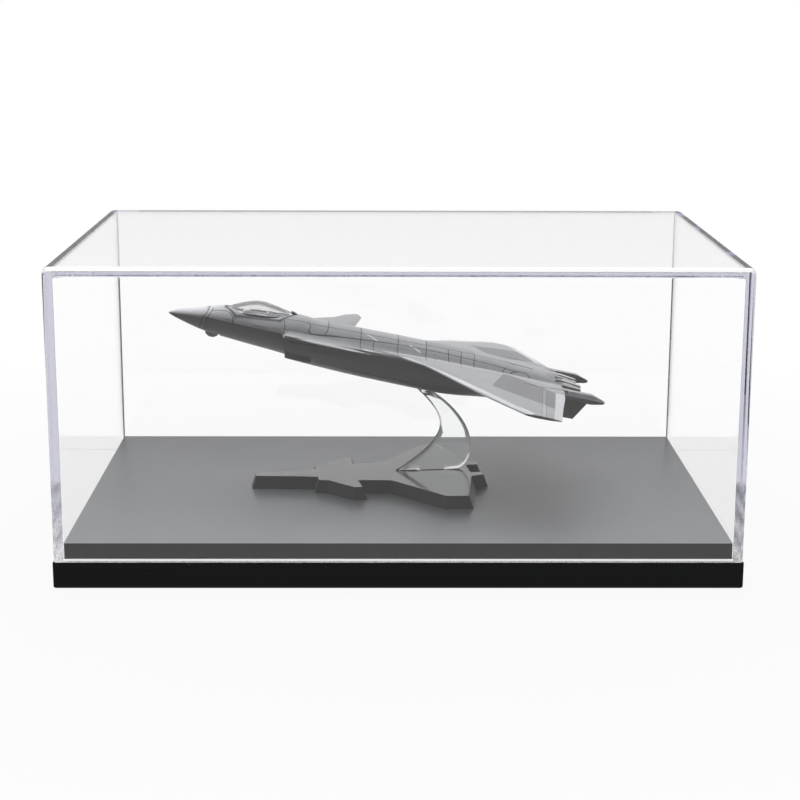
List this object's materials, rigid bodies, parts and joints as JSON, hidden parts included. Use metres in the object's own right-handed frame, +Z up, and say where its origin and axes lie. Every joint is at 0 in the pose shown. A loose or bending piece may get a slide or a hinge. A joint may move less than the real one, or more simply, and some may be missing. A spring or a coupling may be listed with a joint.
{
  "type": "display case",
  "caption": "Clear lift-off acrylic cover on a black base board and grey plinth, with a model aircraft on a curved clear stand inside.",
  "frame": {"origin": "centre of the case on the surface it stands on, between the foot pads' lower faces", "axes": "+X right along the case's width, +Y to the back, +Z up"},
  "size_m": [0.2294, 0.1504, 0.108],
  "materials": {
    "black_board": "satin black board",
    "grey_board": "satin grey with a fine straight grain",
    "steel": "zinc plated",
    "pad_felt": "dark pad",
    "clear_acrylic": "clear, polished faces, sawn lower edge",
    "plate_gloss": "glossy top, dark satin edge",
    "clear_blade": "clear polished",
    "jet_paint_light": "satin light grey paint",
    "jet_paint_dark": "satin dark grey paint",
    "cockpit_black": "matt black",
    "frame_grey": "dark grey",
    "canopy_clear": "clear, bright",
    "nozzle_metal": "burnt metal with light petals"
  },
  "bodies": {
    "case_base": {"base_board": "black_board", "plinth": "grey_board", "base_screws": "steel", "foot_pads": "pad_felt", "stand_plate": "plate_gloss", "stand_blade": "clear_blade"},
    "cover": {"cover_roof": "clear_acrylic", "cover_left": "clear_acrylic", "cover_right": "clear_acrylic", "cover_front": "clear_acrylic", "cover_back": "clear_acrylic"},
    "aircraft": {"jet_nose_cone": "jet_paint_dark", "jet_upper_body": "jet_paint_light", "jet_lower_body": "jet_paint_dark", "jet_intake_left": "jet_paint_dark", "jet_intake_right": "jet_paint_dark", "jet_cockpit_tub": "cockpit_black", "jet_canopy_frame": "frame_grey", "jet_canopy_glass": "canopy_clear", "jet_canard_left": "jet_paint_light", "jet_canard_right": "jet_paint_light", "jet_fin_left": "jet_paint_dark", "jet_fin_right": "jet_paint_dark", "jet_nozzle_left": "nozzle_metal", "jet_nozzle_right": "nozzle_metal", "jet_chin_sensor": "cockpit_black", "jet_stand_socket": "cockpit_black", "jet_body_screws": "steel"}
  },
  "joints": [
    {"name": "cover_lift", "type": "slide", "parent": "case_base", "child": "cover", "axis": [0, 0, 1], "range_m": [0, 0.1]},
    {"name": "aircraft_lift", "type": "slide", "parent": "case_base", "child": "aircraft", "axis": [0.2075, 0.0127, 0.9781], "range_m": [0, 0.012]}
  ]
}
